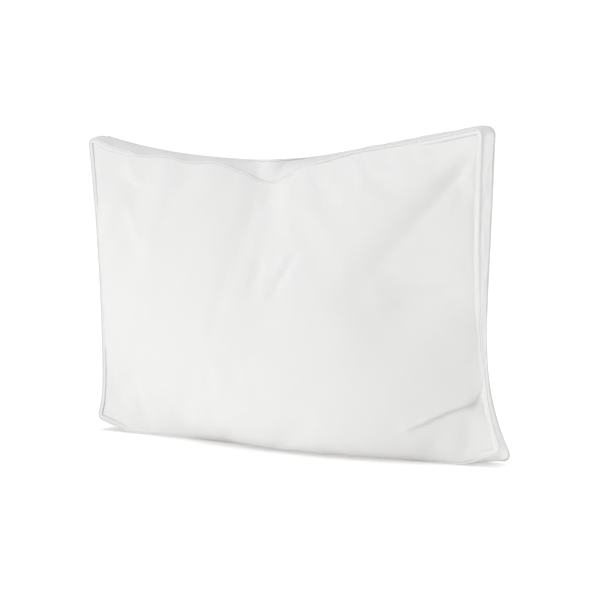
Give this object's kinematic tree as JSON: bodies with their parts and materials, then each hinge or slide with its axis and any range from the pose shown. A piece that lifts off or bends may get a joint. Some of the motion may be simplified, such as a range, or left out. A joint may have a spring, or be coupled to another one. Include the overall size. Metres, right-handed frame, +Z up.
{
  "type": "bed pillow",
  "caption": "White cotton bed pillow with a boxed edge and thin piping in both seams, softly filled, standing on one long side.",
  "frame": {"origin": "on the floor, at the bottom centre of the pillow's box as it stands on one long side", "axes": "+X along the pillow towards its right-hand end, +Y from the front panel towards the back panel, +Z up from the resting foot to the sagging top edge"},
  "size_m": [0.7237, 0.1538, 0.4873],
  "materials": {
    "panel_cotton": "matte",
    "band_cotton": "matte",
    "piping_cotton": "matte",
    "cord_cotton": "matte",
    "sewing_thread": "satin",
    "label_tape": "satin",
    "loose_fill": "matte"
  },
  "bodies": {
    "root": {"front_panel": "panel_cotton", "back_panel": "panel_cotton", "band_long_strip": "band_cotton", "band_foot_strip": "band_cotton", "front_piping_sleeve": "piping_cotton", "front_piping_cord": "cord_cotton", "back_piping_sleeve": "piping_cotton", "back_piping_cord": "cord_cotton", "front_seam_thread": "sewing_thread", "back_seam_thread": "sewing_thread", "band_join_threads": "sewing_thread", "closing_stitches": "sewing_thread", "care_label": "label_tape", "filling": "loose_fill"}
  },
  "joints": []
}
